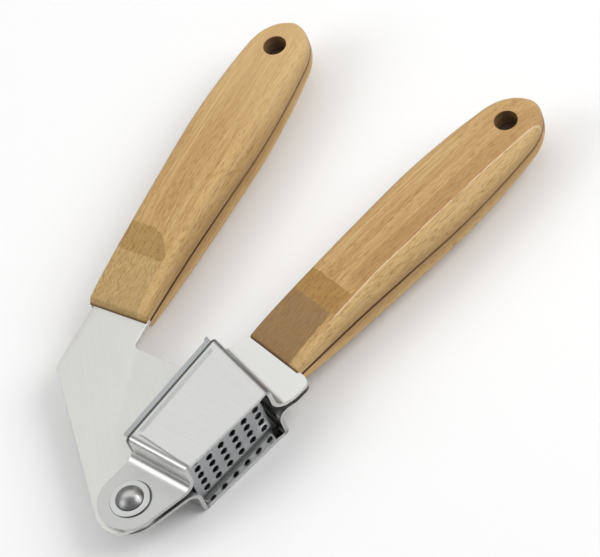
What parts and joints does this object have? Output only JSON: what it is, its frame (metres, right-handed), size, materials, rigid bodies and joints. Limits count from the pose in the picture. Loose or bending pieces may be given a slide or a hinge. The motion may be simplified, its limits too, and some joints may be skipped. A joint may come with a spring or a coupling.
{
  "type": "garlic press",
  "caption": "Hand garlic press: a flat press lever swings through a folded sheet-metal hopper with a perforated sieve, each lever with a two-scale bamboo grip.",
  "frame": {"origin": "on the raised rim of the back shell, at the middle of the hopper's mouth; the press lies on that rim", "axes": "+X along the basket lever towards its grip, +Y out of the hopper's mouth towards the press lever, +Z across the sheets from the back shell to the front shell"},
  "size_m": [0.1805, 0.1027, 0.0232],
  "materials": {
    "plate_steel": "satin",
    "shell_steel": "satin brushed",
    "sieve_steel": "satin",
    "polished_steel": "polished",
    "ring_steel": "satin",
    "bamboo": "oiled laminated bamboo"
  },
  "bodies": {
    "basket_lever": {"front_shell": "shell_steel", "back_shell": "shell_steel", "sieve_liner": "sieve_steel", "pivot_rivet": "polished_steel", "front_rivet_ring": "ring_steel", "back_rivet_ring": "ring_steel", "basket_grip_front": "bamboo", "basket_grip_back": "bamboo", "tang_spacer": "plate_steel"},
    "press_lever": {"press_plate": "plate_steel", "presser_pan": "plate_steel", "press_grip_front": "bamboo", "press_grip_back": "bamboo"}
  },
  "joints": [
    {"name": "press_hinge", "type": "hinge", "parent": "basket_lever", "child": "press_lever", "pos_m": [-0.0305, -0.01038, 0.0116], "axis": [0, 0, 1], "range_deg": [-17, 100]}
  ]
}
